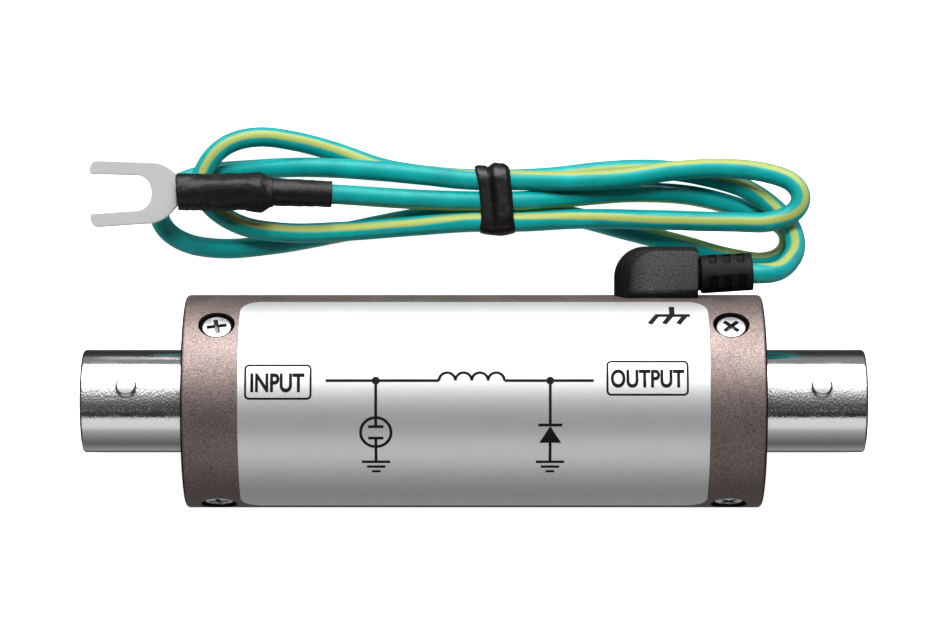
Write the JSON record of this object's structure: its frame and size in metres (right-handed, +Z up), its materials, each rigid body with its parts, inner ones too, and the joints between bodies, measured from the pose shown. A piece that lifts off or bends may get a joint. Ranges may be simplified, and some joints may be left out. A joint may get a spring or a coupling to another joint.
{
  "type": "coax lightning arrestor",
  "caption": "In-line coaxial surge arrestor: anodised tube with a bayonet jack at each end, a wrap-round label, and a green and yellow earth lead tied in a hank with a fork terminal.",
  "frame": {"origin": "on the supporting surface, below the middle of the tube", "axes": "+X along the tube from the input jack to the output jack, +Y towards the earth boot, +Z up through the label"},
  "size_m": [0.0734, 0.0361, 0.0201],
  "materials": {
    "anodised_taupe": "bead-blasted, anodised taupe brown",
    "label_film": "satin silver film with black print",
    "cap_aluminium": "turned, satin",
    "screw_steel": "plated, bright",
    "nickel_plate": "nickel-plated brass, bright with fine turning marks",
    "white_insulator": "white, waxy",
    "gold_contact": "gold-plated",
    "board_green": "green solder mask",
    "tube_ceramic": "matt white",
    "black_epoxy": "moulded, matt",
    "choke_brown": "wound ferrite drum",
    "boot_rubber": "moulded black, fine grain",
    "wire_green": "green with a yellow stripe",
    "core_copper": "bare copper strand",
    "tie_black": "black, satin",
    "sleeve_black": "shrunk black sleeve, slightly wrinkled",
    "fork_tin": "tinned, matt"
  },
  "bodies": {
    "root": {"housing_tube": "anodised_taupe", "face_label": "label_film", "input_end_cap": "cap_aluminium", "output_end_cap": "cap_aluminium", "input_cap_screws": "screw_steel", "output_cap_screws": "screw_steel", "input_jack_shell": "nickel_plate", "output_jack_shell": "nickel_plate", "input_jack_insulator": "white_insulator", "output_jack_insulator": "white_insulator", "input_jack_contact": "gold_contact", "output_jack_contact": "gold_contact", "input_lock_washer": "screw_steel", "output_lock_washer": "screw_steel", "input_jack_nut": "nickel_plate", "output_jack_nut": "nickel_plate", "circuit_board": "board_green", "gas_tube_ceramic": "tube_ceramic", "gas_tube_electrodes": "screw_steel", "clamp_diode": "black_epoxy", "line_choke": "choke_brown", "earth_pin": "gold_contact", "ground_boot": "boot_rubber", "ground_wire": "wire_green", "wire_core": "core_copper", "wire_tie": "tie_black", "terminal_sleeve": "sleeve_black", "wire_sleeve": "sleeve_black", "fork_terminal": "fork_tin"}
  },
  "joints": []
}
